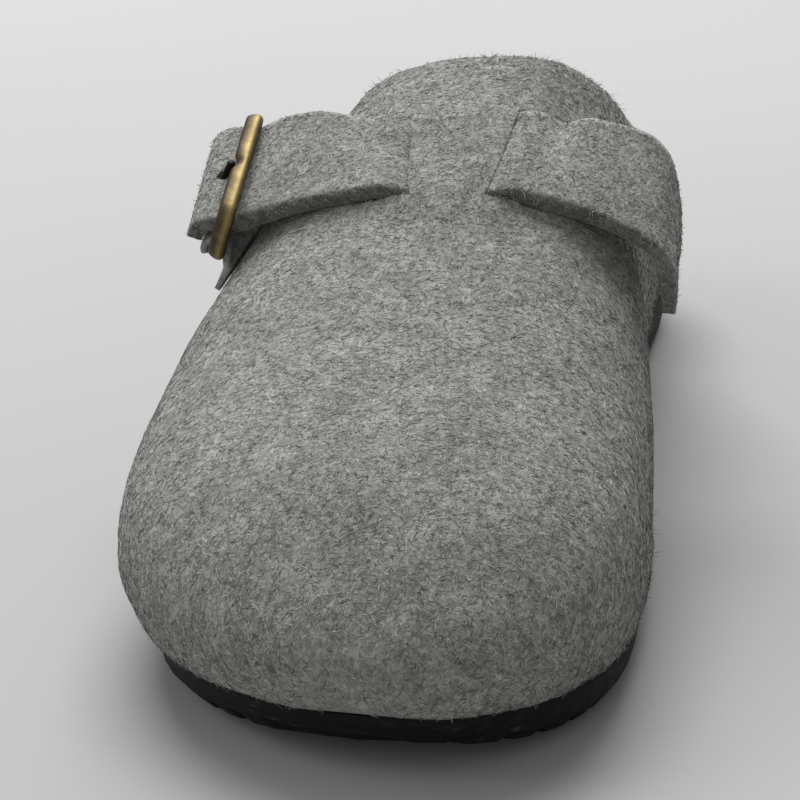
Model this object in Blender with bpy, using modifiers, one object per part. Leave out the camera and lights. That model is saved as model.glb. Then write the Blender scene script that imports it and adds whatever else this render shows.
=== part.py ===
"""Closed-toe wool felt clog for the right foot, with a felt instep strap and a brass buckle.

Every table is in millimetres. A station is the distance behind the toe tip of the sole,
x runs from the lateral side (negative) to the medial side (positive), and z is the height
above the floor. In the scene the toe points along -Y and the heel along +Y.
"""

import math
from collections import namedtuple

import bmesh
import bpy
from mathutils import Matrix, Vector

MM = 0.001
GAP = 0.3  # left between two pieces that touch

# Sole outline
SOLE_LENGTH = 268.0
TOE_ROUND, TOE_POWER = 60.0, 2.4
HEEL_ROUND, HEEL_POWER = 37.0, 2.2
PlanRow = namedtuple("PlanRow", "station centre half")
PLAN = [
    PlanRow(0, 3.0, 45.0),
    PlanRow(30, -2.5, 49.5),
    PlanRow(60, -5.5, 51.5),
    PlanRow(75, -6.3, 51.7),
    PlanRow(100, -7.5, 49.5),
    PlanRow(130, -8.3, 43.3),
    PlanRow(160, -7.7, 38.2),
    PlanRow(190, -7.0, 35.2),
    PlanRow(220, -6.0, 34.4),
    PlanRow(268, -5.0, 33.5),
]
# Middle of the finished shoe in the same units, which becomes the origin
MIDDLE_X = -7.72
MIDDLE_STATION = 132.17

# Height of the line where felt and sole meet
EdgeRow = namedtuple("EdgeRow", "station height")
EDGE = [
    EdgeRow(0, 13.6),
    EdgeRow(30, 11.1),
    EdgeRow(60, 10.1),
    EdgeRow(100, 10.6),
    EdgeRow(160, 12.1),
    EdgeRow(210, 12.6),
    EdgeRow(268, 12.6),
]

# Underside of the sole: it curls up at the toe, lifts at the waist and rounds off at the heel
TOE_SPRING, SPRING_LENGTH, SPRING_POWER = 7.6, 58.0, 2.2
WAIST_LIFT, WAIST_FRONT, WAIST_REAR = 1.2, 106.0, 178.0
HEEL_LIFT, HEEL_BEVEL = 2.2, 16.0
InsetRow = namedtuple("InsetRow", "station lateral medial")
SOLE_INSETS = [  # the felt overhangs the sole
    InsetRow(0, 1.0, 1.0),
    InsetRow(20, 2.4, 1.2),
    InsetRow(45, 3.4, 1.6),
    InsetRow(75, 3.5, 1.8),
    InsetRow(110, 2.8, 1.8),
    InsetRow(160, 2.0, 1.8),
    InsetRow(268, 1.6, 1.6),
]
SOLE_DRAFT = 3.2  # the underside is this much smaller all round
SOLE_BAND = 2.6  # height of the slanted band above the underside
SOLE_LIP = 1.4  # height of the rounded top edge
SOLE_STEPS = 40

# Wavy cross grooves that leave the lugs of the tread
GROOVE_PITCH, GROOVE_WIDTH, GROOVE_DEPTH = 6.4, 2.6, 2.2
GROOVE_FIRST, GROOVE_LAST = 5.0, 264.0
WAVE_HALF, WAVE_HEIGHT = 16.0, 3.2
GROOVE_REACH = 64.0
PAD_RADIUS = 9.0  # smooth round pads left without grooves
PADS = [(-6.5, 84.0), (-6.0, 222.0)]  # x and station of the pads

# Outer skin of the upper: ridge line, bulge past the sole, and height of the widest point
# and the power of the rounded cross section above it, where 2 is an ellipse
SkinRow = namedtuple("SkinRow", "station ridge height lateral medial widest power")
SKIN = [
    SkinRow(0, 0.0, 40.5, 3.5, 2.5, 12.0, 2.3),
    SkinRow(20, -1.0, 49.8, 3.5, 2.5, 12.5, 2.3),
    SkinRow(45, -2.0, 54.3, 3.9, 0.7, 14.0, 2.2),
    SkinRow(75, -2.0, 61.0, 3.4, -0.2, 16.0, 2.3),
    SkinRow(100, -1.0, 69.6, 3.6, 0.4, 18.0, 2.3),
    SkinRow(125, 2.4, 80.6, 3.0, 2.0, 26.0, 2.2),
    SkinRow(153, 3.4, 93.0, 3.0, 3.0, 30.0, 2.0),
    SkinRow(180, 2.4, 97.8, 3.0, 3.0, 30.0, 2.0),
    SkinRow(210, 2.0, 99.8, 3.0, 3.0, 30.0, 2.0),
]
TIP_POWER = 1.95  # the same power at the front of the toe cap, which slopes back
LOW = 0.3  # share of a rib that lies below the widest point
FELT = 3.5
UPPER_INSET = 1.0
TOE_CENTRE = 45.0  # the ribs of the toe cap fan out from the ridge at this station
REAR_BASE = 205.0  # where the upper stops along the sole
THROAT = 153.0  # where the collar crosses the ridge
SLANT_FROM = 100.0
SLANT_START = 0.28
SIDE_RIBS = 20
TOE_RIBS = 26
RIB_ROWS = [0, 0.07, 0.14, 0.22, 0.3, 0.38, 0.46, 0.54, 0.62, 0.7, 0.77, 0.83, 0.88, 0.92, 0.955, 0.98, 1]

# Bridge: the band of upper between the two slits, lifted by the strap below it
SLIT_FRONT, SLIT_REAR = 110.6, 134.4
BRIDGE_RISE = 2.2
BRIDGE_FEATHER = 9.0
BridgeRow = namedtuple("BridgeRow", "station lateral medial")
BRIDGE = [BridgeRow(SLIT_FRONT, -11.8, 6.2), BridgeRow(SLIT_REAR, -15.4, 9.4)]

# Strap: outer face along its front and rear edges, one row for each fold
STRAP_FELT = 3.5
FoldRow = namedtuple("FoldRow", "x_front s_front z_front x_rear s_rear z_rear")
STRAP_LATERAL = [
    FoldRow(-60.4, 113.6, 63.0, -60.9, 140.2, 75.4),
    FoldRow(-59.2, 113.0, 65.3, -59.7, 139.7, 78.0),
    FoldRow(-56.6, 112.4, 66.8, -56.8, 139.0, 79.7),
    FoldRow(-53.2, 111.8, 67.4, -53.5, 138.5, 80.2),
    FoldRow(-49.6, 111.4, 67.4, -49.9, 138.0, 80.0),
    FoldRow(-45.6, 111.2, 69.3, -46.4, 137.6, 81.9),
    FoldRow(-39.0, 111.0, 71.4, -42.0, 136.8, 83.8),
    FoldRow(-31.4, 110.8, 73.6, -34.0, 136.0, 84.9),
]
STRAP_MEDIAL = [
    FoldRow(25.0, 110.8, 73.2, 23.0, 135.4, 85.4),
    FoldRow(31.8, 111.0, 70.4, 30.5, 136.0, 83.9),
    FoldRow(38.6, 111.4, 66.9, 36.6, 136.6, 81.4),
    FoldRow(42.3, 111.8, 63.6, 40.1, 137.0, 77.2),
    FoldRow(44.2, 112.3, 59.4, 41.6, 137.6, 71.6),
    FoldRow(44.8, 113.0, 54.6, 42.2, 138.2, 64.6),
    FoldRow(44.4, 113.8, 49.4, 42.2, 139.0, 56.0),
]
# Strap beside and under the bridge: distance outside the slit, and outer face above the skin
LiftRow = namedtuple("LiftRow", "outside above")
STRAP_LIFT = [LiftRow(9.0, 3.9), LiftRow(4.5, 2.4), LiftRow(0.0, 0.0), LiftRow(-4.0, -2.6)]
STRAP_UNDER = -3.8
STRAP_STEPS = 3
STRAP_ACROSS = 4

# Buckle frame: centre lines of the crossbar over the strap and of the hinge bar below it
CROSS_FRONT = (-50.1, 108.6, 69.7)
CROSS_REAR = (-50.9, 140.3, 83.0)
HINGE_FRONT = (-54.5, 112.2, 58.1)
HINGE_REAR = (-55.3, 143.9, 71.4)
BAR_RADIUS = 1.6
CORNER_ROUND = 4.0
CORNER_STEPS = 4
PRONG_RADIUS = 0.9
PRONG_PAST = 0.2  # tip beyond the middle of the crossbar
PRONG_TURN = 270.0  # how far its eye goes round the hinge bar
PRONG_STEP = 30.0

# Felt tab that carries the buckle
TAB_FELT = 1.6
TAB_END_SPACE = 3.2  # clear of the side rails
TAB_FEET = [(50.0, 59.0), (52.5, 62.0), (55.0, 65.0)]  # height on the skin, front and rear
TAB_ROUND = [200, 170, 140, 110, 80, 50, 20, -10, -40]  # degrees round the hinge bar
TAB_ACROSS = 4
TAB_SLOT = 4.6

# Footbed inside the upper, with its bare side behind it
BedRow = namedtuple("BedRow", "station middle lateral medial")
BED = [
    BedRow(0, 19.5, 21.5, 21.5),
    BedRow(30, 16.5, 19.5, 19.5),
    BedRow(52, 17.0, 19.0, 19.0),
    BedRow(75, 15.5, 19.0, 19.5),
    BedRow(100, 16.5, 20.0, 21.5),
    BedRow(130, 19.0, 22.5, 28.5),
    BedRow(160, 20.5, 26.0, 34.0),
    BedRow(190, 20.5, 30.0, 35.0),
    BedRow(220, 20.0, 32.5, 34.5),
    BedRow(250, 20.5, 34.0, 34.5),
    BedRow(268, 22.0, 34.5, 34.5),
]
BED_INSET_FRONT = 5.2
BED_INSET_REAR = 1.9
BED_STEP = (REAR_BASE + 0.4, REAR_BASE + 1.6)
BED_RIM = 3.0  # width of the rounded rim
BED_SHARES = [0.22, 0.45, 0.72]
BED_POWER = 2.4

FELT_GREY = (0.26, 0.26, 0.25, 1)
RUBBER_BLACK = (0.012, 0.012, 0.011, 1)
BED_GREY = (0.06, 0.06, 0.058, 1)
BRASS = (0.36, 0.27, 0.12, 1)


def clear_scene():
    """Start from an empty scene."""
    for thing in list(bpy.data.objects):
        bpy.data.objects.remove(thing, do_unlink=True)


def collection(name):
    """A collection of the given name, linked to the scene."""
    group = bpy.data.collections.new(name)
    bpy.context.scene.collection.children.link(group)
    return group


def material(name, colour, roughness, metallic=0.0):
    """A Principled material for one piece."""
    made = bpy.data.materials.new(name)
    made.use_nodes = True
    shader = made.node_tree.nodes["Principled BSDF"]
    shader.inputs["Base Color"].default_value = colour
    shader.inputs["Roughness"].default_value = roughness
    shader.inputs["Metallic"].default_value = metallic
    return made


def at(table, field, where):
    """Read one column of a table at any place, on a smooth curve through its rows."""
    keys = [row[0] for row in table]
    values = [getattr(row, field) for row in table]
    last = len(keys) - 1
    i = max([k for k in range(last) if keys[k] <= where], default=0)

    def slope(k):
        """Rise of the curve at row k."""
        a, b = max(k - 1, 0), min(k + 1, last)
        return (values[b] - values[a]) / (keys[b] - keys[a])

    if where < keys[0]:
        return values[0] + slope(0) * (where - keys[0])
    if where > keys[last]:
        return values[last] + slope(last) * (where - keys[last])
    span = keys[i + 1] - keys[i]
    q = (where - keys[i]) / span
    rise_a, rise_b = slope(i) * span, slope(i + 1) * span
    return (
        (2 * q**3 - 3 * q**2 + 1) * values[i]
        + (q**3 - 2 * q**2 + q) * rise_a
        + (3 * q**2 - 2 * q**3) * values[i + 1]
        + (q**3 - q**2) * rise_b
    )


def round_end(distance, length, power):
    """Share of the full width at a distance from a rounded end."""
    if distance >= length:
        return 1.0
    return max(0.0, 1 - ((length - distance) / length) ** power) ** (1 / power)


def sole_half(station):
    """Half width of the sole."""
    toe = round_end(station, TOE_ROUND, TOE_POWER)
    heel = round_end(SOLE_LENGTH - station, HEEL_ROUND, HEEL_POWER)
    return at(PLAN, "half", station) * toe * heel


def sole_x(station, side, inset=0.0):
    """Edge of the sole: side -1 is lateral and 1 is medial."""
    half = max(0.0, sole_half(station) - inset)
    return at(PLAN, "centre", station) + side * half


def place(x, station, z):
    """A point of the tables as a point of the scene."""
    return Vector((x - MIDDLE_X, station - MIDDLE_STATION, z)) * MM


def link(name, mesh, group, finish=None, smooth=True):
    """Make an object from a mesh."""
    thing = bpy.data.objects.new(name, mesh)
    group.objects.link(thing)
    if finish:
        mesh.materials.append(finish)
    if smooth:
        mesh.shade_smooth()
        mesh.set_sharp_from_angle(angle=math.radians(50))
    return thing


def grid_mesh(name, columns):
    """Faces between neighbouring columns of points, all of one length."""
    build = bmesh.new()
    verts = [[build.verts.new(place(*point)) for point in column] for column in columns]
    for left, right in zip(verts, verts[1:]):
        for k in range(len(left) - 1):
            build.faces.new((left[k], right[k], right[k + 1], left[k + 1]))
    bmesh.ops.remove_doubles(build, verts=build.verts, dist=0.00002)
    mesh = bpy.data.meshes.new(name)
    build.to_mesh(mesh)
    build.free()
    return mesh


def felt_sheet(name, columns, thickness, offset, group, finish=None):
    """An open surface that Solidify turns into a felt wall."""
    thing = link(name, grid_mesh(name, columns), group, finish)
    wall = thing.modifiers.new("felt", "SOLIDIFY")
    wall.thickness = thickness * MM
    wall.offset = offset
    wall.use_even_offset = True
    return thing


def cut(thing, cutter, name):
    """Take a cutter away from a piece."""
    made = thing.modifiers.new(name, "BOOLEAN")
    made.operation = "DIFFERENCE"
    made.solver = "EXACT"
    made.object = cutter
    cutter.hide_render = True
    cutter.display_type = "WIRE"


# Upper


def rib(side_x_base, base_station, ridge_station, bulge, power, share):
    """Point of the outer skin, at a share of the way from the sole edge up to the ridge."""
    ridge_x = at(SKIN, "ridge", ridge_station)
    out_x, out_s = side_x_base - ridge_x, base_station - ridge_station
    widest = 1 + bulge / max(math.hypot(out_x, out_s), 1.0)
    base_z = at(EDGE, "height", base_station)
    mid_z = base_z + at(SKIN, "widest", base_station)
    if share < LOW:
        down = 1 - share / LOW
        reach = widest - (widest - 1) * down**2
        z = base_z + (mid_z - base_z) * (1 - down)
        return ridge_x + reach * out_x, ridge_station + reach * out_s, z
    turn = (share - LOW) / (1 - LOW) * math.pi / 2
    reach = widest * max(0.0, math.cos(turn)) ** (2 / power)
    rise = math.sin(turn) ** (2 / power)
    x, station = ridge_x + reach * out_x, ridge_station + reach * out_s
    z = mid_z + (at(SKIN, "height", max(0.0, station)) - mid_z) * rise
    return x, station, z + bridge_rise(x, station)


def smooth_step(q):
    """0 below 0, 1 above 1 and a soft rise between."""
    q = min(1.0, max(0.0, q))
    return q * q * (3 - 2 * q)


def bridge_rise(x, station):
    """Extra height of the skin over the strap."""
    left, right = at(BRIDGE, "lateral", station), at(BRIDGE, "medial", station)
    across = smooth_step((x - left) / BRIDGE_FEATHER + 1) * smooth_step((right - x) / BRIDGE_FEATHER + 1)
    front = smooth_step((station - SLIT_FRONT) / BRIDGE_FEATHER + 1)
    rear = smooth_step((SLIT_REAR - station) / BRIDGE_FEATHER + 1)
    return BRIDGE_RISE * across * front * rear


def side_point(side, station, share):
    """Point of the skin on a cross section behind the toe cap."""
    bulge = at(SKIN, "lateral" if side < 0 else "medial", station)
    power = at(SKIN, "power", station)
    return rib(sole_x(station, side, UPPER_INSET), station, station, bulge, power, share)


def skin_z(x, station):
    """Height of the skin above a point of the floor, near the ridge."""
    ridge_x = at(SKIN, "ridge", station)
    side = -1 if x < ridge_x else 1
    bulge = at(SKIN, "lateral" if side < 0 else "medial", station)
    reach = abs(x - ridge_x) / (abs(sole_x(station, side, UPPER_INSET) - ridge_x) + bulge)
    mid_z = at(EDGE, "height", station) + at(SKIN, "widest", station)
    power = at(SKIN, "power", station)
    rise = max(0.0, 1 - reach**power) ** (1 / power)
    return mid_z + (at(SKIN, "height", station) - mid_z) * rise + bridge_rise(x, station)


def skin_x(side, station, z):
    """Where the skin of one side is at a height above its widest point."""
    ridge_x = at(SKIN, "ridge", station)
    bulge = at(SKIN, "lateral" if side < 0 else "medial", station)
    mid_z = at(EDGE, "height", station) + at(SKIN, "widest", station)
    rise = max(0.0, (z - mid_z) / (at(SKIN, "height", station) - mid_z))
    power = at(SKIN, "power", station)
    reach = max(0.0, 1 - rise**power) ** (1 / power)
    return ridge_x + side * reach * (abs(sole_x(station, side, UPPER_INSET) - ridge_x) + bulge)


def ridge_station(base):
    """Station at the ridge of the rib that starts at a base station."""
    if base <= SLANT_FROM:
        return base
    span = REAR_BASE - SLANT_FROM
    q = (base - SLANT_FROM) / span
    return SLANT_FROM + span * q - (REAR_BASE - THROAT) * q * q


def side_rib(side, base):
    """A rib of one side, leaning forward near the collar so that the last one is its edge."""
    points = []
    for share in RIB_ROWS:
        lean = math.sin(math.pi / 2 * max(0.0, (share - SLANT_START) / (1 - SLANT_START)))
        station = base + (ridge_station(base) - base) * lean
        points.append(side_point(side, station, share))
    return points


def toe_rib(k):
    """Rib k of the fan round the toe."""
    angle = math.pi * k / TOE_RIBS
    station = TOE_CENTRE * (1 - math.sin(angle))
    side = -1 if k * 2 < TOE_RIBS else 1
    x = sole_x(station, side, UPPER_INSET)
    medial = smooth_step((x + sole_half(TOE_CENTRE)) / (2 * sole_half(TOE_CENTRE)))
    bulge = at(SKIN, "lateral", station) * (1 - medial) + at(SKIN, "medial", station) * medial
    side_power = at(SKIN, "power", TOE_CENTRE)
    power = side_power + (TIP_POWER - side_power) * math.sin(angle) ** 1.5
    base = max(station, UPPER_INSET)
    return [rib(x, base, TOE_CENTRE, bulge, power, share) for share in RIB_ROWS]


def upper_columns():
    """All ribs from the lateral rear corner round the toe to the medial one."""
    pitch = (REAR_BASE - TOE_CENTRE) / SIDE_RIBS
    bases = [TOE_CENTRE + pitch * k for k in range(SIDE_RIBS + 1)]
    lateral = [side_rib(-1, base) for base in reversed(bases)]
    toe = [toe_rib(k) for k in range(1, TOE_RIBS)]
    medial = [side_rib(1, base) for base in bases]
    return lateral + toe + medial


# Strap


def strap_rows():
    """Folds of the strap's outer face from its lateral tip to its medial end."""
    lateral, medial = [], []
    for row in STRAP_LIFT:
        for rows, field, side in ((lateral, "lateral", -1), (medial, "medial", 1)):
            x_front = at(BRIDGE, field, SLIT_FRONT) + side * row.outside
            x_rear = at(BRIDGE, field, SLIT_REAR) + side * row.outside
            z_front = skin_z(x_front, SLIT_FRONT) + row.above
            z_rear = skin_z(x_rear, SLIT_REAR) + row.above
            rows.append(FoldRow(x_front, SLIT_FRONT, z_front, x_rear, SLIT_REAR, z_rear))
    middle = (BRIDGE[0].lateral + BRIDGE[0].medial) / 2
    under = FoldRow(
        middle,
        SLIT_FRONT,
        skin_z(middle, SLIT_FRONT) + STRAP_UNDER,
        middle,
        SLIT_REAR,
        skin_z(middle, SLIT_REAR) + STRAP_UNDER,
    )
    return STRAP_LATERAL + lateral + [under] + medial[::-1] + STRAP_MEDIAL


def curve_through(points, steps):
    """Points of a smooth curve through the given ones, with steps to each stretch."""
    last = len(points) - 1
    made = []
    for i in range(last):
        before, after = points[max(i - 1, 0)], points[min(i + 2, last)]
        here, there = points[i], points[i + 1]
        for k in range(steps):
            q = k / steps
            made.append(
                here
                + (there - before) * (q / 2)
                + (before * 2 - here * 5 + there * 4 - after) * (q * q / 2)
                + (here * 3 - before - there * 3 + after) * (q**3 / 2)
            )
    return made + [points[last]]


def strap_columns(widen=0.0, raise_by=0.0):
    """Strap's outer face, or the same face widened and raised for its slit."""
    rows = strap_rows()
    front = curve_through([Vector(row[:3]) for row in rows], STRAP_STEPS)
    rear = curve_through([Vector(row[3:]) for row in rows], STRAP_STEPS)
    columns = []
    for k, (a, b) in enumerate(zip(front, rear)):
        ahead, behind = front[min(k + 1, len(front) - 1)], front[max(k - 1, 0)]
        out = (ahead - behind).cross(b - a).normalized()
        side = (b - a).normalized() * widen
        start, end = a - side + out * raise_by, b + side + out * raise_by
        columns.append([start.lerp(end, j / STRAP_ACROSS) for j in range(STRAP_ACROSS + 1)])
    return columns


# Buckle


def buckle_axes():
    """Directions of the buckle frame: along its bars, from hinge to crossbar, and outward."""
    along = (Vector(CROSS_REAR) - Vector(CROSS_FRONT)).normalized()
    up = Vector(CROSS_FRONT) - Vector(HINGE_FRONT)
    up = (up - along * up.dot(along)).normalized()
    return along, up, up.cross(along)


def wire(name, points, radius, cyclic, group, finish):
    """A bent rod with closed ends."""
    curve = bpy.data.curves.new(name, "CURVE")
    curve.dimensions = "3D"
    curve.bevel_depth = radius * MM
    curve.bevel_resolution = 3
    curve.use_fill_caps = True
    spline = curve.splines.new("POLY")
    spline.points.add(len(points) - 1)
    for slot, point in zip(spline.points, points):
        slot.co = (*place(*point), 1)
    spline.use_cyclic_u = cyclic
    curve.materials.append(finish)
    thing = bpy.data.objects.new(name, curve)
    group.objects.link(thing)
    return thing


def frame_loop():
    """Centre line of the buckle frame, with rounded corners."""
    corners = [Vector(p) for p in (CROSS_FRONT, CROSS_REAR, HINGE_REAR, HINGE_FRONT)]
    points = []
    for k, corner in enumerate(corners):
        before = corner + (corners[k - 1] - corner).normalized() * CORNER_ROUND
        after = corner + (corners[(k + 1) % 4] - corner).normalized() * CORNER_ROUND
        for j in range(CORNER_STEPS + 1):
            q = j / CORNER_STEPS
            points.append(before * (1 - q) ** 2 + corner * (2 * q * (1 - q)) + after * q * q)
    return points


def bar_middle(front, rear):
    """Middle of a bar."""
    return (Vector(front) + Vector(rear)) / 2


def prong_points():
    """Eye round the hinge bar, then a straight pin over the crossbar."""
    along, up, out = buckle_axes()
    hinge = bar_middle(HINGE_FRONT, HINGE_REAR)
    cross = bar_middle(CROSS_FRONT, CROSS_REAR)
    reach = BAR_RADIUS + GAP + PRONG_RADIUS
    steps = round(PRONG_TURN / PRONG_STEP)
    points = []
    for k in range(steps + 1):
        angle = math.radians(PRONG_STEP * k - PRONG_TURN)
        points.append(hinge + (out * math.cos(angle) + up * math.sin(angle)) * reach)
    pin = (cross - hinge).dot(up) + PRONG_PAST
    points += [hinge + out * reach + up * (pin * q) for q in (0.35, 0.7, 1.0)]
    return points


def rod_cutter(name, start, end, radius, group):
    """A round cutter from one point to another."""
    build = bmesh.new()
    bmesh.ops.create_cone(
        build,
        cap_ends=True,
        segments=12,
        radius1=radius * MM,
        radius2=radius * MM,
        depth=(end - start).length * MM,
    )
    mesh = bpy.data.meshes.new(name)
    build.to_mesh(mesh)
    build.free()
    turn = (end - start).to_track_quat("Z", "Y").to_matrix().to_4x4()
    thing = link(name, mesh, group, smooth=False)
    thing.matrix_world = Matrix.Translation(place(*((start + end) / 2))) @ turn
    return thing


def tab_columns():
    """Centre surface of the felt tab: up from the side of the upper and round the hinge bar."""
    along, up, out = buckle_axes()
    front = Vector(HINGE_FRONT) + along * TAB_END_SPACE
    rear = Vector(HINGE_REAR) - along * TAB_END_SPACE
    loop = BAR_RADIUS + GAP + TAB_FELT / 2
    lift = GAP + 0.2 + TAB_FELT / 2
    columns = []
    for z_front, z_rear in TAB_FEET:
        column = []
        for j in range(TAB_ACROSS + 1):
            q = j / TAB_ACROSS
            station = front.y + (rear.y - front.y) * q
            z = z_front + (z_rear - z_front) * q
            column.append(Vector((skin_x(-1, station, z), station, z)) + out * lift)
        columns.append(column)
    for degrees in TAB_ROUND:
        angle = math.radians(degrees)
        round_bar = (out * math.cos(angle) + up * math.sin(angle)) * loop
        columns.append([front.lerp(rear, j / TAB_ACROSS) + round_bar for j in range(TAB_ACROSS + 1)])
    return columns


def slot_cutter(name, group):
    """A block that opens the tab's loop for the prong's eye."""
    along, up, out = buckle_axes()
    hinge = bar_middle(HINGE_FRONT, HINGE_REAR)
    size = 2 * (BAR_RADIUS + GAP + TAB_FELT + 1.0)
    build = bmesh.new()
    bmesh.ops.create_cube(build, size=1.0)
    mesh = bpy.data.meshes.new(name)
    build.to_mesh(mesh)
    build.free()
    thing = link(name, mesh, group, smooth=False)
    axes = Matrix((out * size, along * TAB_SLOT, up * size)).transposed() * MM
    thing.matrix_world = Matrix.Translation(place(*hinge)) @ axes.to_4x4()
    return thing


# Sole and footbed


def underside(station):
    """Height of the sole's underside."""
    if station < SPRING_LENGTH:
        return TOE_SPRING * ((SPRING_LENGTH - max(station, 0.0)) / SPRING_LENGTH) ** SPRING_POWER
    if WAIST_FRONT < station < WAIST_REAR:
        q = (station - WAIST_FRONT) / (WAIST_REAR - WAIST_FRONT)
        return WAIST_LIFT * math.sin(math.pi * q) ** 2
    back = station - (SOLE_LENGTH - HEEL_BEVEL)
    return HEEL_LIFT * (max(0.0, back) / HEEL_BEVEL) ** 2


def outline(inset_at, extra=()):
    """Sole outline moved inward: two lists of (x, station), lateral and medial, toe to heel."""
    steps = [SOLE_LENGTH * (1 - math.cos(math.pi * k / SOLE_STEPS)) / 2 for k in range(SOLE_STEPS + 1)]
    stations = sorted(steps + list(extra))
    sides = []
    for side in (-1, 1):
        edge = [Vector((sole_x(s, side), s)) for s in stations]
        moved = []
        for k, point in enumerate(edge):
            inset = inset_at(stations[k], side)
            if k in (0, len(edge) - 1):
                moved.append(Vector((point.x, point.y + (inset if k == 0 else -inset))))
                continue
            run = edge[k + 1] - edge[k - 1]
            inward = Vector((-run.y, run.x)).normalized() * side
            moved.append(point + inward * inset)
        sides.append(moved)
    return sides


def ring_solid(name, rings, group, finish):
    """A closed solid from rings of the outline, bottom first, capped straight across."""
    build = bmesh.new()
    loops = []
    for lateral, medial in rings:
        left = [build.verts.new(place(*p)) for p in lateral]
        right = [build.verts.new(place(*p)) for p in medial]
        loops.append((left, right))
    for (left_a, right_a), (left_b, right_b) in zip(loops, loops[1:]):
        for k in range(len(left_a) - 1):
            build.faces.new((left_a[k + 1], left_a[k], left_b[k], left_b[k + 1]))
            build.faces.new((right_a[k], right_a[k + 1], right_b[k + 1], right_b[k]))
    for (left, right), down in ((loops[0], True), (loops[-1], False)):
        for k in range(len(left) - 1):
            corners = [left[k], right[k], right[k + 1], left[k + 1]]
            build.faces.new(corners[::-1] if down else corners)
    bmesh.ops.remove_doubles(build, verts=build.verts, dist=0.00002)
    mesh = bpy.data.meshes.new(name)
    build.to_mesh(mesh)
    build.free()
    return link(name, mesh, group, finish)


def sole_inset(station, side):
    """How far the side of the sole stays inside the felt."""
    return at(SOLE_INSETS, "lateral" if side < 0 else "medial", station)


def sole_rings():
    """Underside, slanted band, side and top edge of the outsole."""
    levels = [
        (SOLE_DRAFT, lambda s: underside(s)),
        (SOLE_DRAFT / 3, lambda s: underside(s) + SOLE_BAND),
        (0.0, lambda s: at(EDGE, "height", s) - GAP - SOLE_LIP),
        (SOLE_LIP / 3, lambda s: at(EDGE, "height", s) - GAP),
    ]
    rings = []
    for draft, height in levels:
        sides = outline(lambda s, side, draft=draft: sole_inset(s, side) + draft)
        rings.append([[(p.x, p.y, height(p.y)) for p in side] for side in sides])
    return rings


def groove_cutter(station):
    """One wavy groove across the sole."""
    count = round(2 * GROOVE_REACH / WAVE_HALF)
    low, high = underside(station) - GROOVE_DEPTH, underside(station) + GROOVE_DEPTH
    columns = []
    for k in range(count + 1):
        x = -GROOVE_REACH + WAVE_HALF * k
        middle = station + WAVE_HEIGHT * (0.5 if k % 2 else -0.5)
        a, b = middle - GROOVE_WIDTH / 2, middle + GROOVE_WIDTH / 2
        columns.append([(x, a, low), (x, b, low), (x, b, high), (x, a, high)])
    build = bmesh.new()
    verts = [[build.verts.new(place(*p)) for p in column] for column in columns]
    for left, right in zip(verts, verts[1:]):
        for j in range(4):
            build.faces.new((left[j], left[(j + 1) % 4], right[(j + 1) % 4], right[j]))
    build.faces.new(verts[0][::-1])
    build.faces.new(verts[-1])
    bmesh.ops.recalc_face_normals(build, faces=build.faces)
    return build


def groove_cutters(group):
    """All grooves as one cutter, with the smooth pads left out of it."""
    joined = bmesh.new()
    count = int((GROOVE_LAST - GROOVE_FIRST) / GROOVE_PITCH)
    for k in range(count + 1):
        build = groove_cutter(GROOVE_FIRST + GROOVE_PITCH * k)
        mesh = bpy.data.meshes.new("groove")
        build.to_mesh(mesh)
        build.free()
        joined.from_mesh(mesh)
        bpy.data.meshes.remove(mesh)
    mesh = bpy.data.meshes.new("grooves")
    joined.to_mesh(mesh)
    joined.free()
    grooves = link("grooves", mesh, group, smooth=False)
    for number, (x, station) in enumerate(PADS):
        foot, head = Vector((x, station, -9.0)), Vector((x, station, 9.0))
        pad = rod_cutter(f"pad_{number}", foot, head, PAD_RADIUS, group)
        cut(grooves, pad, f"pad {number}")
    return grooves


def bed_inset(station):
    """The footbed is narrow inside the felt and full width behind it."""
    q = (station - BED_STEP[0]) / (BED_STEP[1] - BED_STEP[0])
    return BED_INSET_FRONT + (BED_INSET_REAR - BED_INSET_FRONT) * min(1.0, max(0.0, q))


def bed_rings():
    """Footbed from its flat underside up its side, over the rim and down into the bowl."""
    def rim(x, s):
        """The rim blends from its lateral to its medial height across the shoe."""
        lateral, medial = at(BED, "lateral", s), at(BED, "medial", s)
        across = (x - at(PLAN, "centre", s)) / at(PLAN, "half", s)
        return (lateral + medial) / 2 + (medial - lateral) / 2 * across

    def ring(extra_inset, height):
        """One ring of the outline, at a height worked out for each point."""
        sides = outline(lambda s, side: bed_inset(s) + extra_inset, BED_STEP)
        return [[(p.x, p.y, height(p.x, p.y)) for p in side] for side in sides]

    rings = [
        ring(0.0, lambda x, s: at(EDGE, "height", s)),
        ring(0.0, lambda x, s: rim(x, s) - BED_RIM * 0.7),
        ring(BED_RIM * 0.35, lambda x, s: rim(x, s) - BED_RIM * 0.15),
        ring(BED_RIM, rim),
    ]
    top = rings[-1]
    for share in BED_SHARES:
        made = []
        for n in (0, 1):
            side = []
            for mine, other in zip(top[n], top[1 - n]):
                x = mine[0] + (other[0] - mine[0]) * share / 2
                station = mine[1] + (other[1] - mine[1]) * share / 2
                middle = at(BED, "middle", station)
                z = middle + (mine[2] - middle) * (1 - share) ** BED_POWER
                side.append((x, station, z))
            made.append(side)
        rings.append(made)
    return rings


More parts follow.
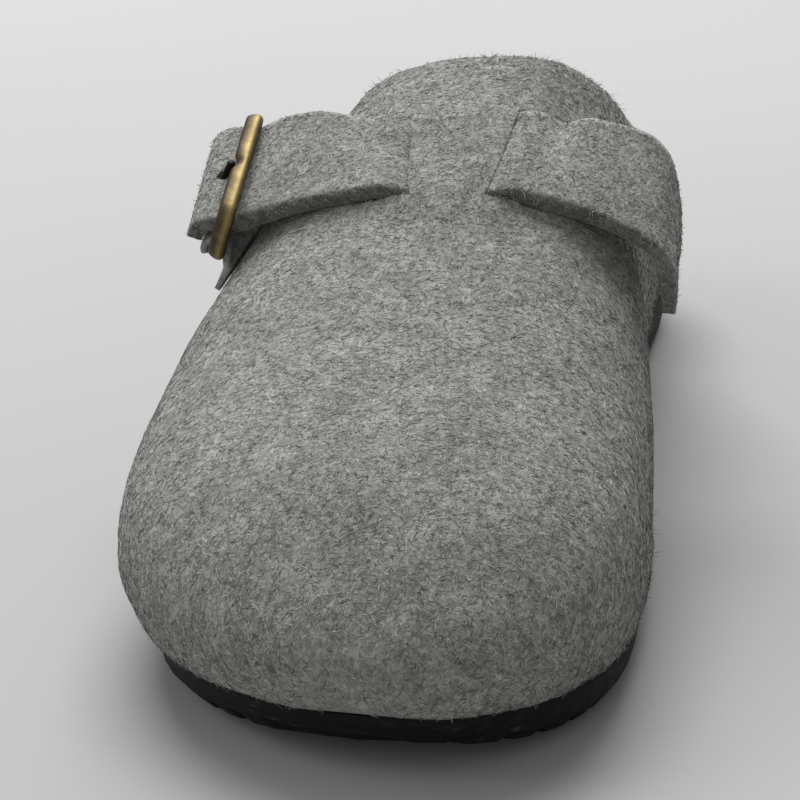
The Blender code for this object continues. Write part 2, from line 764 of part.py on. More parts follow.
def build():
    """Make every piece of the clog."""
    clear_scene()
    clog = collection("felt_clog")
    cutters = collection("cutters")
    felt = material("wool felt", FELT_GREY, 0.95)
    strap_felt = material("strap felt", FELT_GREY, 0.95)
    tab_felt = material("tab felt", FELT_GREY, 0.95)
    rubber = material("sole rubber", RUBBER_BLACK, 0.7)
    bed = material("footbed foam", BED_GREY, 0.8)
    brass = material("aged brass", BRASS, 0.35, 1.0)
    prong_brass = material("prong brass", BRASS, 0.35, 1.0)

    outsole = ring_solid("outsole", sole_rings(), clog, rubber)
    cut(outsole, groove_cutters(cutters), "grooves")
    ring_solid("footbed", bed_rings(), clog, bed)

    upper = felt_sheet("upper", upper_columns(), FELT, -1, clog, felt)
    slit = strap_columns(widen=GAP, raise_by=GAP)
    cut(upper, felt_sheet("slit", slit, STRAP_FELT + 2 * GAP, -1, cutters), "slit")

    strap = felt_sheet("strap", strap_columns(), STRAP_FELT, -1, clog, strap_felt)
    along, up, out = buckle_axes()
    hinge = bar_middle(HINGE_FRONT, HINGE_REAR) + out * (BAR_RADIUS + GAP + PRONG_RADIUS)
    hole = rod_cutter("prong_hole", hinge - up * 2, hinge + up * 16, PRONG_RADIUS + 0.5, cutters)
    cut(strap, hole, "prong hole")

    tab = felt_sheet("buckle_tab", tab_columns(), TAB_FELT, 0, clog, tab_felt)
    cut(tab, slot_cutter("tab_slot", cutters), "prong slot")
    wire("buckle_frame", frame_loop(), BAR_RADIUS, True, clog, brass)
    wire("buckle_prong", prong_points(), PRONG_RADIUS, False, clog, prong_brass)


build()
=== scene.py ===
# %% [markdown]
# # A felt clog in light and fibre
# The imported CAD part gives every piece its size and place. This script dresses it: the felt gets
# its lumps, creases and loose fibres, the buckle its cast bar, the sole its scuffed rubber. Then a
# pale studio is put round it and a camera looks down at the toe.

# %% Load the frame
import math
from collections import namedtuple

import bmesh
import bpy
import numpy as np
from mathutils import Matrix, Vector, noise


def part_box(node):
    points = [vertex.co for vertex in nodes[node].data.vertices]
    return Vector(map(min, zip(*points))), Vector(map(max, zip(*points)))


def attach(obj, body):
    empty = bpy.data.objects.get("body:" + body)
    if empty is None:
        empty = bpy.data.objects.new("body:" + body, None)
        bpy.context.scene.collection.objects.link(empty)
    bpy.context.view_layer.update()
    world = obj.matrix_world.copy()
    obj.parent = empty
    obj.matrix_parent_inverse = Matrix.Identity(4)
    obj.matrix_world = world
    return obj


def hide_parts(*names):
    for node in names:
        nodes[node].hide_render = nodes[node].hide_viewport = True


MM = 0.001
MERGE = 0.02 * MM  # points of a copied CAD mesh closer than this become one

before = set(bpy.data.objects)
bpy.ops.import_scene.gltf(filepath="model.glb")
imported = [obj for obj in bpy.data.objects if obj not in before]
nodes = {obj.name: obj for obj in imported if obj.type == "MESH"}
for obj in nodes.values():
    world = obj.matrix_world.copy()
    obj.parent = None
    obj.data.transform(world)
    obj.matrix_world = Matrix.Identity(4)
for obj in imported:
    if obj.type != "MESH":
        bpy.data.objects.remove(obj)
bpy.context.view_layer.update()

# %% [markdown]
# ## Helpers
# Colours are written as the hex values that a picture shows and turned into linear light once.
# One helper adds a shader node with its settings and its links, so that each material below reads
# as a list of what it is made of. Texture sizes are written in millimetres.


# %% Small helpers
def light_of(hex_colour):
    """Linear RGBA of a colour written as a hex value."""
    channels = [int(hex_colour[i : i + 2], 16) / 255 for i in (1, 3, 5)]
    linear = [c / 12.92 if c <= 0.04045 else ((c + 0.055) / 1.055) ** 2.4 for c in channels]
    return (*linear, 1.0)


def per_mm(size):
    """Texture scale whose features are about this many millimetres wide."""
    return 1 / (size * MM)


def add(tree, kind, settings=None, inputs=None):
    """Add a node, set its properties, and feed its inputs with values or other nodes' outputs."""
    made = tree.nodes.new(kind)
    for field, value in (settings or {}).items():
        setattr(made, field, value)
    for socket, value in (inputs or {}).items():
        if isinstance(value, bpy.types.NodeSocket):
            tree.links.new(value, made.inputs[socket])
        else:
            made.inputs[socket].default_value = value
    return made


def ramp(tree, factor, stops):
    """Colour ramp through (place, hex colour) stops."""
    made = add(tree, "ShaderNodeValToRGB", inputs={"Fac": factor})
    elements = made.color_ramp.elements
    while len(elements) < len(stops):
        elements.new(0.5)
    for element, (place, colour) in zip(elements, stops):
        element.position = place
        element.color = light_of(colour)
    return made.outputs["Color"]


def noise_at(tree, where, size, detail=2.0, distortion=0.0):
    """Noise whose lumps are about size millimetres wide."""
    made = add(
        tree,
        "ShaderNodeTexNoise",
        inputs={"Vector": where, "Scale": per_mm(size), "Detail": detail, "Distortion": distortion},
    )
    return made.outputs["Fac"]


def stretched(tree, where, turn, factors):
    """Object coordinates turned and squeezed, so that a texture on them becomes streaks."""
    turned = add(
        tree,
        "ShaderNodeMapping",
        inputs={"Vector": where, "Rotation": [math.radians(a) for a in turn]},
    )
    squeezed = add(
        tree, "ShaderNodeMapping", inputs={"Vector": turned.outputs["Vector"], "Scale": factors}
    )
    return squeezed.outputs["Vector"]


def maths(tree, operation, a, b):
    """Result of one arithmetic step."""
    return add(tree, "ShaderNodeMath", {"operation": operation}, {0: a, 1: b}).outputs[0]


def new_material(name):
    """Empty material with its tree, its principled shader and its object coordinates."""
    made = bpy.data.materials.new(name)
    made.use_nodes = True
    tree = made.node_tree
    where = add(tree, "ShaderNodeTexCoord").outputs["Object"]
    return made, tree, tree.nodes["Principled BSDF"], where


def bump(tree, height, strength, distance_mm, below=None):
    """Bump whose full height is distance_mm, on top of another normal."""
    inputs = {"Height": height, "Strength": strength, "Distance": distance_mm * MM}
    if below is not None:
        inputs["Normal"] = below
    return add(tree, "ShaderNodeBump", inputs=inputs).outputs["Normal"]


# %% [markdown]
# ## Wool felt
# Felt is a mat of grey fibres, some nearly white and some nearly black. Close up it is a field of
# short streaks that run every way. Three sets of stretched noise, each turned differently, stand
# for the fibres that lie in the mat, and a wider noise gathers them into patches a few
# millimetres across. A number called cut, from 0 to 1, darkens the knife-cut edges, partly for
# the fibres seen end on there and partly as painted shade, since these edges face away from the
# light. Sheen gives the pale rim that loose fibres make against the light.


# %% Felt material
FELT_STREAKS = [((0, 25, 40), 0.36), ((35, -20, -50), 0.42), ((-30, 40, 95), 0.5)]
STREAK_LENGTH = 6.0  # times its width


def felt_material(name, dark, middle, light):
    """Matted wool with light and dark fibres."""
    made, tree, shader, where = new_material(name)
    total = None
    for turn, width in FELT_STREAKS:
        streak = noise_at(tree, stretched(tree, where, turn, (1, 1, 1 / STREAK_LENGTH)), width, 3.0)
        total = streak if total is None else maths(tree, "ADD", total, streak)
    fibres = maths(tree, "MULTIPLY", total, 1 / len(FELT_STREAKS))
    patches = noise_at(tree, where, 1.7, 4.0, 0.8)
    broad = noise_at(tree, where, 8.0, 3.0, 0.4)
    mixed = maths(tree, "ADD", maths(tree, "MULTIPLY", fibres, 0.5), maths(tree, "MULTIPLY", patches, 0.3))
    mixed = maths(tree, "ADD", mixed, maths(tree, "MULTIPLY", broad, 0.2))
    # The cut edges are darkened partly for their end-on fibres and partly as painted shade, because they
    # face away from the light.
    cut = add(tree, "ShaderNodeAttribute", {"attribute_name": "cut"}).outputs["Fac"]
    mixed = maths(tree, "SUBTRACT", mixed, maths(tree, "MULTIPLY", cut, 0.1))
    colour = ramp(tree, mixed, [(0.36, dark), (0.49, middle), (0.62, light)])
    tree.links.new(colour, shader.inputs["Base Color"])
    relief = bump(tree, patches, 0.5, 0.5)
    tree.links.new(bump(tree, fibres, 0.9, 0.35, relief), shader.inputs["Normal"])
    shader.inputs["Roughness"].default_value = 1.0
    shader.inputs["Specular IOR Level"].default_value = 0.1
    shader.inputs["Sheen Weight"].default_value = 0.12
    shader.inputs["Sheen Roughness"].default_value = 0.6
    return made


# The mat of the upper, the strap and the tab.
wool = felt_material("grey wool felt", "#555652", "#83847f", "#afb0aa")
# A darker felt that covers the footbed.
bed_wool = felt_material("dark footbed felt", "#363734", "#5a5b57", "#7b7c76")

# %% [markdown]
# The loose fibres are real geometry, so their material only needs a colour for each fibre. Every
# fibre carries a number from 0 to 1 called shade, and a ramp turns it into a grey.


# %% Fibre material
def fibre_material(name, stops):
    """Single wool hairs, each with its own grey."""
    made, tree, shader, where = new_material(name)
    shade = add(tree, "ShaderNodeAttribute", {"attribute_name": "shade"}).outputs["Fac"]
    drift = maths(tree, "MULTIPLY", noise_at(tree, where, 1.6, 2.0), 1.1)
    colour = ramp(tree, maths(tree, "ADD", shade, maths(tree, "SUBTRACT", drift, 0.55)), stops)
    tree.links.new(colour, shader.inputs["Base Color"])
    shader.inputs["Roughness"].default_value = 0.85
    shader.inputs["Specular IOR Level"].default_value = 0.2
    return made


hair = fibre_material(
    "wool hairs", [(0.0, "#484945"), (0.3, "#777873"), (0.62, "#999a94"), (1.0, "#bebfb9")]
)

# %% [markdown]
# ## Rubber, foam and brass
# The sole is matt black foam rubber with faint pale rubs. The footbed's bare side is dark foam
# with fine pores. The buckle is brass that has gone brown in its hollows and is gold on its
# ridge, partly worn bright and partly a painted highlight along the side the light catches. The
# prong is painted much darker, as painted shade.


# %% Rubber and foam
def rubber_material():
    """Matt black sole rubber with fine grain and pale rubs."""
    made, tree, shader, where = new_material("black sole rubber")
    grain = noise_at(tree, where, 0.5, 4.0)
    rubs = noise_at(tree, stretched(tree, where, (0, 0, 12), (0.25, 1, 1.6)), 2.6, 6.0, 0.8)
    colour = ramp(
        tree, rubs, [(0.0, "#0a0a09"), (0.54, "#0e0e0d"), (0.66, "#1d1d1a"), (0.78, "#45453f")]
    )
    tree.links.new(colour, shader.inputs["Base Color"])
    rough = add(
        tree,
        "ShaderNodeMapRange",
        inputs={"Value": rubs, "From Min": 0.3, "From Max": 0.7, "To Min": 0.62, "To Max": 0.85},
    )
    tree.links.new(rough.outputs["Result"], shader.inputs["Roughness"])
    tree.links.new(bump(tree, grain, 0.4, 0.12), shader.inputs["Normal"])
    shader.inputs["IOR"].default_value = 1.5
    shader.inputs["Specular IOR Level"].default_value = 0.2
    return made


def foam_material():
    """Dark moulded foam with fine pores."""
    made, tree, shader, where = new_material("dark footbed foam")
    pores = add(
        tree,
        "ShaderNodeTexVoronoi",
        {"feature": "F1"},
        {"Vector": where, "Scale": per_mm(0.9)},
    ).outputs["Distance"]
    cloud = noise_at(tree, where, 9.0, 3.0)
    colour = ramp(tree, cloud, [(0.3, "#30302d"), (0.7, "#43433f")])
    tree.links.new(colour, shader.inputs["Base Color"])
    tree.links.new(bump(tree, pores, 0.5, 0.15), shader.inputs["Normal"])
    shader.inputs["Roughness"].default_value = 0.8
    shader.inputs["Specular IOR Level"].default_value = 0.3
    return made


rubber = rubber_material()
foam = foam_material()


# %% Brass
def brass_material(name, stops):
    """Cast brass from a brown patina in the hollows to a gold ridge, part wear and part painted highlight.
    """
    made, tree, shader, where = new_material(name)
    stains = noise_at(tree, where, 3.2, 5.0, 0.5)
    fine = noise_at(tree, where, 0.35, 3.0)
    crown = add(tree, "ShaderNodeAttribute", {"attribute_name": "crown"}).outputs["Fac"]
    # The crown mark paints the ridge towards gold: partly wear, partly a painted highlight.
    wear_and_highlight = maths(tree, "ADD", crown, maths(tree, "SUBTRACT", maths(tree, "MULTIPLY", stains, 0.8), 0.4))
    colour = ramp(tree, wear_and_highlight, stops)
    tree.links.new(colour, shader.inputs["Base Color"])
    rough = add(
        tree,
        "ShaderNodeMapRange",
        inputs={"Value": stains, "From Min": 0.2, "From Max": 0.8, "To Min": 0.62, "To Max": 0.5},
    )
    tree.links.new(rough.outputs["Result"], shader.inputs["Roughness"])
    tree.links.new(bump(tree, fine, 0.25, 0.05), shader.inputs["Normal"])
    shader.inputs["Metallic"].default_value = 1.0
    return made


brass = brass_material("aged brass", [(0.1, "#463d30"), (0.5, "#6b5d43"), (1.0, "#968659")])
# The prong's brass is painted much darker than the frame's, as painted shade for the dark gap where it
# lies by the crossbar.
shaded_pin_brass = brass_material("pin brass in painted shade", [(0.0, "#221d16"), (0.6, "#3a3124"), (1.0, "#54472f")])

# %% [markdown]
# ## Felt pieces
# The CAD walls have the right thickness and outline but flat facets and hard edges. A merged copy
# is subdivided, with a crease at the knife-cut edges, and its points are then pushed along
# their normals: a little everywhere, for the uneven mat, and more at the creases. The creases are
# listed in millimetres of the shoe's own frame: soft troughs where the toe cap has
# settled and low ridges between them.

# %% Creases and lumps
Crease = namedtuple("Crease", "x y half_length half_width height turn")
CREASES = [
    Crease(-20, -103, 16, 6.5, -0.9, 78),
    Crease(-4, -110, 14, 6.0, -0.8, 88),
    Crease(13, -107, 15, 6.0, -0.7, 100),
    Crease(29, -96, 14, 7.0, -0.5, 115),
    Crease(-12, -104, 15, 5.0, 0.5, 84),
    Crease(5, -106, 15, 5.0, 0.45, 95),
    Crease(2, -72, 24, 11, 0.6, 4),
    Crease(-31, -84, 16, 8.0, -0.5, 60),
    Crease(4, -28, 26, 7.0, -0.6, 0),
    Crease(26, -40, 16, 8.0, -0.4, 130),
]
LUMPS = [(26.0, 0.45), (9.0, 0.22), (3.6, 0.1)]  # width and height in mm
FACET_ANGLE, QUAD_ANGLE = 25, 50  # how bent and how skewed two triangles may be to join, in degrees
CUT_ANGLE = 42  # an edge sharper than this was cut with a knife
CUT_CREASE = 0.93
CUT_START, CUT_FACING = 0.55, 0.8  # how far forward or back a cut edge of the strap looks


def crease_height(point):
    """Sum of the creases at a point of the upper, in mm."""
    x, y = point.x / MM, point.y / MM
    total = 0.0
    for c in CREASES:
        turn = math.radians(c.turn)
        along = (x - c.x) * math.cos(turn) + (y - c.y) * math.sin(turn)
        across = (y - c.y) * math.cos(turn) - (x - c.x) * math.sin(turn)
        total += c.height * math.exp(-((along / c.half_length) ** 2) - (across / c.half_width) ** 2)
    return total


def lump_height(point):
    """Unevenness of the mat at a point, in mm."""
    return sum(height * noise.noise(point * per_mm(width)) for width, height in LUMPS)


def cut_share(normal):
    """1 on the front and rear edges of the strap, which a knife has cut, and 0 on its broad sides."""
    return min(1.0, max(0.0, (abs(normal.y) - CUT_START) / (CUT_FACING - CUT_START)))


def soft_piece(node, name, levels, creased):
    """A subdivided copy of a CAD felt wall, with its lumps and creases, that stands for the node."""
    build = bmesh.new()
    build.from_mesh(nodes[node].data)
    bmesh.ops.remove_doubles(build, verts=build.verts, dist=MERGE)
    bmesh.ops.join_triangles(
        build,
        faces=build.faces,
        angle_face_threshold=math.radians(FACET_ANGLE),
        angle_shape_threshold=math.radians(QUAD_ANGLE),
    )
    crease = build.edges.layers.float.new("crease_edge")
    for edge in build.edges:
        if len(edge.link_faces) == 2 and edge.calc_face_angle() > math.radians(CUT_ANGLE):
            edge[crease] = CUT_CREASE
    mesh = bpy.data.meshes.new(name)
    build.to_mesh(mesh)
    build.free()
    coarse = bpy.data.objects.new(name, mesh)
    bpy.context.scene.collection.objects.link(coarse)
    smooth = coarse.modifiers.new("rounding", "SUBSURF")
    smooth.levels = smooth.render_levels = levels
    fine = bpy.data.meshes.new_from_object(coarse.evaluated_get(bpy.context.evaluated_depsgraph_get()))
    coarse.modifiers.clear()
    coarse.data = fine
    bpy.data.meshes.remove(mesh)
    normals = [v.normal.copy() for v in fine.vertices]
    for vertex, normal in zip(fine.vertices, normals):
        push = lump_height(vertex.co)
        if creased:
            push += crease_height(vertex.co) * max(0.0, normal.z) ** 0.5
        vertex.co += normal * push * MM
    # The cut mark darkens the strap's knife-cut edges: partly their own end-on fibres, partly painted
    # shade.
    if node == "strap":
        cut = fine.attributes.new("cut", "FLOAT", "POINT")
        cut.data.foreach_set("value", [cut_share(normal) for normal in normals])
    fine.materials.clear()
    fine.materials.append(wool)
    fine.shade_smooth()
    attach(coarse, "root")
    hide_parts(node)
    print(name, "has", sum(len(p.vertices) - 2 for p in fine.polygons), "triangles")
    return coarse


upper = soft_piece("upper", "felt_upper", 2, True)
strap = soft_piece("strap", "felt_strap", 2, False)
tab = soft_piece("buckle_tab", "felt_tab", 2, False)

# %% [markdown]
# ## Loose fibres
# The fuzz decides how felt looks in a close view. Each fibre is a thin ribbon of two quads that
# starts in the mat, lies down beside it and lifts a little at its tip. Points are drawn evenly
# over the outside of a piece, in numpy, because one object each would be far too slow. Most lie
# flat, and a few strays stand up and make the soft outline. The strap's cut edges stay nearly bare.


# %% Fibre maker
AXIS_HEIGHT = 30  # mm above the floor, the highest that the inside's middle line runs
INSIDE_SHARE = 0.04  # fibres on the inside, against 1 on the outside
CUT_SHARE = 0.12  # fibres on a cut edge, against 1 on a broad side

def outside(points, normals):
    """1 where a face looks away from the inside of the shoe, and less where it looks in."""
    axis = points.copy()
    axis[:, 0] = 0.0
    axis[:, 2] = np.minimum(axis[:, 2], AXIS_HEIGHT * MM)
    away = ((points - axis) * normals).sum(1)
    return np.where(away > 0, 1.0, INSIDE_SHARE)


def broad_sides(points, normals):
    """The strap's broad sides carry the nap, and its knife-cut front and rear edges carry little."""
    return np.where(np.abs(normals[:, 1]) < CUT_FACING, 1.0, CUT_SHARE)


def surface_points(mesh, count, weight, rng):
    """Random points and normals, spread evenly by area and weight."""
    mesh.calc_loop_triangles()
    co = np.empty(len(mesh.vertices) * 3, np.float32)
    mesh.vertices.foreach_get("co", co)
    co = co.reshape(-1, 3)
    vertex_normals = np.empty(len(mesh.vertices) * 3, np.float32)
    mesh.vertices.foreach_get("normal", vertex_normals)
    vertex_normals = vertex_normals.reshape(-1, 3)
    corners = np.empty(len(mesh.loop_triangles) * 3, np.int32)
    mesh.loop_triangles.foreach_get("vertices", corners)
    corners = corners.reshape(-1, 3)
    a, b, c = (co[corners[:, k]] for k in range(3))
    cross = np.cross(b - a, c - a)
    area = np.linalg.norm(cross, axis=1)
    chance = area * weight((a + b + c) / 3, cross / np.maximum(area, 1e-12)[:, None])
    pick = rng.choice(len(corners), count, p=chance / chance.sum())
    u, v = rng.random(count), rng.random(count)
    fold = u + v > 1
    u[fold], v[fold] = 1 - u[fold], 1 - v[fold]
    share = np.stack([1 - u - v, u, v], 1)[:, :, None]
    points = (co[corners[pick]] * share).sum(1)
    normals = (vertex_normals[corners[pick]] * share).sum(1)
    return points, normals / np.linalg.norm(normals, axis=1)[:, None]


Fibre = namedtuple("Fibre", "length width lift stray curl flow")
LENGTH_SPREAD = 0.35
LONGEST = 1.6  # times the usual length
MOST_LIFT = 2.0  # times the usual lift
STRAY_LIFT = 3.5  # a stray fibre lifts this many times as far
MOST_TILT = 0.9  # how far a ribbon leans over, in radians
ROOT_DEPTH, MIDDLE_RISE = 0.04, 0.05  # mm into the mat at the root, and above it at the middle
MIDDLE_CURL, MIDDLE_LIFT = 0.35, 0.7  # share of the curl and of the lift that the middle has
TIP_WIDTH = 0.3  # as a share of the root's width


def fibre_piece(name, host, count, kind, weight, seed):
    """One mesh of loose fibres on a felt piece. Sizes are in mm, and flow is a leaning direction."""
    rng = np.random.default_rng(seed)
    points, normals = surface_points(host.data, count, weight, rng)
    wish = rng.normal(size=(count, 3)) + np.array(kind.flow)
    run = wish - (wish * normals).sum(1)[:, None] * normals
    run /= np.linalg.norm(run, axis=1)[:, None]
    side = np.cross(normals, run)
    length = kind.length * MM * np.minimum(rng.lognormal(0, LENGTH_SPREAD, (count, 1)), LONGEST)
    curl = side * rng.normal(0, kind.curl, (count, 1)) * length
    lift = kind.lift * MM * np.minimum(np.abs(rng.normal(0, 1, (count, 1))), MOST_LIFT)
    lift = lift * np.where(rng.random((count, 1)) < kind.stray, STRAY_LIFT, 1.0)
    tilt = rng.uniform(-MOST_TILT, MOST_TILT, (count, 1))
    half = (side * np.cos(tilt) + normals * np.sin(tilt)) * kind.width * MM / 2
    root = points - normals * ROOT_DEPTH * MM
    rise = normals * (lift * MIDDLE_LIFT + MIDDLE_RISE * MM)
    middle = points + run * length * 0.5 + curl * MIDDLE_CURL + rise
    tip = points + run * length + curl + normals * lift
    narrow = half * TIP_WIDTH
    rows = [root - half, root + half, middle - half, middle + half, tip - narrow, tip + narrow]
    co = np.stack(rows, 1).reshape(-1, 3).astype(np.float32)
    quads = (np.arange(count)[:, None] * 6 + np.array([0, 1, 3, 2, 2, 3, 5, 4])).astype(np.int32)
    mesh = bpy.data.meshes.new(name)
    mesh.vertices.add(count * 6)
    mesh.vertices.foreach_set("co", co.ravel())
    mesh.loops.add(count * 8)
    mesh.loops.foreach_set("vertex_index", quads.ravel())
    mesh.polygons.add(count * 2)
    mesh.polygons.foreach_set("loop_start", np.arange(count * 2, dtype=np.int32) * 4)
    mesh.update(calc_edges=True)
    shade = mesh.attributes.new("shade", "FLOAT", "POINT")
    shade.data.foreach_set("value", np.repeat(rng.random(count), 6).astype(np.float32))
    mesh.materials.append(hair)
    piece = bpy.data.objects.new(name, mesh)
    bpy.context.scene.collection.objects.link(piece)
    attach(piece, "root")
    print(name, "has", count * 4, "triangles")
    return piece


# %% Fibres of the upper, the strap and the tab
NAP = Fibre(length=1.0, width=0.15, lift=0.02, stray=0.0, curl=0.28, flow=(0.3, -0.3, 0.2))
CURLS = Fibre(length=1.9, width=0.1, lift=0.04, stray=0.02, curl=0.5, flow=(0, 0, 0))
FUZZ = Fibre(length=0.9, width=0.05, lift=0.04, stray=0.03, curl=0.4, flow=(0, 0, 0))
FRINGE = Fibre(length=1.2, width=0.08, lift=0.06, stray=0.04, curl=0.3, flow=(0, 0, -1.6))

LOWER_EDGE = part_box("upper")[0].z
FRINGE_HEIGHT = 4.0


def lower_edge(points, normals):
    """Only the band just above the sole."""
    return outside(points, normals) * (points[:, 2] < LOWER_EDGE + FRINGE_HEIGHT * MM)


full = 1.0
fibre_piece("upper_nap_a", upper, int(45000 * full), NAP, outside, 1)
fibre_piece("upper_nap_b", upper, int(45000 * full), NAP, outside, 2)
fibre_piece("upper_fuzz", upper, int(45000 * full), CURLS, outside, 3)
fibre_piece("upper_fringe", upper, int(9000 * full), FRINGE, lower_edge, 4)
fibre_piece("strap_nap", strap, int(22000 * full), NAP, broad_sides, 5)
fibre_piece("strap_fuzz", strap, int(14000 * full), FUZZ, broad_sides, 6)
fibre_piece("tab_fuzz", tab, int(2500 * full), FUZZ, broad_sides, 7)

# %% [markdown]
# ## Footbed and sole
# The CAD footbed and sole keep their shapes and take their materials. The felt cover of the
# footbed is made from the footbed's own upper faces, lifted off and given a thickness.

# %% Footbed cover, foam and rubber
COVER_FELT = 0.9
COVER_SLOPE = 0.35
CUP_SLOPE = 0.08  # the wall of the heel cup is steeper than the rest
CUP_MIDDLE = Vector((0.0, 90.0, 0.0)) * MM


def covered(face):
    """True where the felt lies: on top, and on the wall that faces the middle of the heel cup."""
    inward = (CUP_MIDDLE - face.calc_center_median()).xy.dot(face.normal.xy) > 0
    return face.normal.z > (CUP_SLOPE if inward else COVER_SLOPE)


def cover_piece():
    """Thin felt over the bowl of the footbed."""
    build = bmesh.new()
    build.from_mesh(nodes["footbed"].data)
    bmesh.ops.remove_doubles(build, verts=build.verts, dist=MERGE)
    build.normal_update()
    bare = [face for face in build.faces if not covered(face)]
    bmesh.ops.delete(build, geom=bare, context="FACES")
    mesh = bpy.data.meshes.new("footbed_cover")
    build.to_mesh(mesh)
    build.free()
    piece = bpy.data.objects.new("footbed_cover", mesh)
    bpy.context.scene.collection.objects.link(piece)
    wall = piece.modifiers.new("felt", "SOLIDIFY")
    wall.thickness = COVER_FELT * MM
    wall.offset = 1.0
    smooth = piece.modifiers.new("rounding", "SUBSURF")
    smooth.levels = smooth.render_levels = 2
    mesh.materials.clear()
    mesh.materials.append(bed_wool)
    mesh.shade_smooth()
    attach(piece, "root")
    return piece


cover_piece()


def finish_node(node, material):
    """Give a CAD node its looks."""
    mesh = nodes[node].data
    mesh.materials.clear()
    mesh.materials.append(material)


finish_node("footbed", foam)
finish_node("outsole", rubber)

# %% [markdown]
# ## Buckle frame
# The real frame is cast, not bent from wire: its bars are flat below, crowned above and edged by
# small bevels, and the crossbar has a notch for the prong. The loop's plane and size are
# read from the CAD node. A section is then carried round a rounded rectangle and its rings are
# bridged.

# %% Cast frame
SectionRow = namedtuple("SectionRow", "outward above crown")
# crown: how far each row of the section is painted towards gold, partly for wear and partly as a painted
# highlight on the lit outer ridge.
BAR_SECTION = [
    SectionRow(-1.3, -1.9, 0.0),
    SectionRow(0.1, -2.3, 0.2),
    SectionRow(1.1, -1.8, 0.7),
    SectionRow(1.5, -0.9, 1.0),
    SectionRow(1.1, 0.5, 0.25),
    SectionRow(0.3, 1.7, 0.0),
    SectionRow(-1.2, 1.6, 0.0),
]
ROD_RADIUS = 1.6 * MM
CORNER_RADIUS = 4.2
NOTCH_DEPTH = 1.3
NOTCH_HALF = 1.2
BAR_STEPS = 14
ARC_STEPS = 6


def frame_axes():
    """Middle of the CAD frame, its long and short directions, its normal, and its half sizes."""
    co = np.array([v.co for v in nodes["buckle_frame"].data.vertices])
    middle = (co.min(0) + co.max(0)) / 2
    _, _, axes = np.linalg.svd(co - co.mean(0), full_matrices=False)
    long_axis, short_axis, normal = (Vector(a) for a in axes)
    if long_axis.y < 0:
        long_axis.negate()
    if short_axis.z < 0:
        short_axis.negate()
    normal = short_axis.cross(long_axis)
    spread = (co - middle) @ axes.T
    half = (spread.max(0) - spread.min(0)) / 2
    return Vector(middle), long_axis, short_axis, normal, half[0], half[1]


def frame_piece():
    """The cast frame of the buckle."""
    centre, long_axis, short_axis, normal, half_long, half_short = frame_axes()
    a, b, r = half_long - ROD_RADIUS, half_short - ROD_RADIUS, CORNER_RADIUS * MM
    path = []
    for side, (cx, cy, start) in enumerate(
        ((a - r, b - r, 0), (-a + r, b - r, 90), (-a + r, -b + r, 180), (a - r, -b + r, 270))
    ):
        for k in range(ARC_STEPS + 1):
            angle = math.radians(start + 90 * k / ARC_STEPS)
            out = Vector((math.cos(angle), math.sin(angle)))
            path.append((Vector((cx, cy)) + out * r, out))
        if side in (0, 2):
            sign = 1 if side == 0 else -1
            for k in range(1, BAR_STEPS):
                q = k / BAR_STEPS
                path.append((Vector(((a - r) * (1 - 2 * q) * sign, b * sign)), Vector((0, sign))))
    build = bmesh.new()
    crown = build.verts.layers.float.new("crown")
    rings = []
    for point, out in path:
        ring = []
        notch = 0.0
        if point.y > 0:
            notch = NOTCH_DEPTH * math.exp(-((point.x / MM / NOTCH_HALF) ** 4))
        for row in BAR_SECTION:
            flat = point + out * row.outward * MM
            height = (row.above - (notch if row.above > 0 else 0.0)) * MM
            vert = build.verts.new(centre + long_axis * flat.x + short_axis * flat.y + normal * height)
            vert[crown] = row.crown
            ring.append(vert)
        rings.append(ring)
    count = len(BAR_SECTION)
    for ring, following in zip(rings, rings[1:] + rings[:1]):
        for k in range(count):
            build.faces.new((ring[k], ring[(k + 1) % count], following[(k + 1) % count], following[k]))
    bmesh.ops.recalc_face_normals(build, faces=build.faces)
    mesh = bpy.data.meshes.new("cast_frame")
    build.to_mesh(mesh)
    build.free()
    mesh.materials.append(brass)
    mesh.shade_smooth()
    piece = bpy.data.objects.new("cast_frame", mesh)
    bpy.context.scene.collection.objects.link(piece)
    smooth = piece.modifiers.new("casting", "SUBSURF")
    smooth.levels = smooth.render_levels = 2
    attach(piece, "root")
    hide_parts("buckle_frame")
    print("frame is", round(2 * half_long / MM, 1), "by", round(2 * half_short / MM, 1), "mm")
    return piece


frame_piece()

# %% [markdown]
# The CAD prong is straight and stands clear of the crossbar. Here its end is to lie by the notch,
# so a merged copy is leant towards the crossbar, more and more up to its tip.

# %% Leant prong
PIN_BEND = NOTCH_DEPTH
PIN_BEND_START = 0.1  # as a share of the way from the middle of the frame to the crossbar


def prong_piece():
    """The prong, leant towards the crossbar so that its end lies beside the notch."""
    centre, _, short_axis, normal, _, half_short = frame_axes()
    build = bmesh.new()
    build.from_mesh(nodes["buckle_prong"].data)
    bmesh.ops.remove_doubles(build, verts=build.verts, dist=MERGE)
    for vert in build.verts:
        share = (vert.co - centre).dot(short_axis) / half_short
        bent = max(0.0, (share - PIN_BEND_START) / (1 - PIN_BEND_START))
        vert.co -= normal * PIN_BEND * MM * min(1.0, bent)
    mesh = bpy.data.meshes.new("bent_prong")
    build.to_mesh(mesh)
    build.free()
    mesh.materials.clear()
    # Its darker brass is painted shade.
    mesh.materials.append(shaded_pin_brass)
    mesh.shade_smooth()
    piece = bpy.data.objects.new("bent_prong", mesh)
    bpy.context.scene.collection.objects.link(piece)
    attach(piece, "root")
    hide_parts("buckle_prong")


prong_piece()

# %% [markdown]
# ## Studio
# A pale floor curves up into a backdrop. One large soft light hangs above and well behind the
# shoe, so that its top is bright and the front of the toe falls into shade. A weak light from the
# left keeps that side's edge clear, and a weaker one in front lifts the shade on the toe.

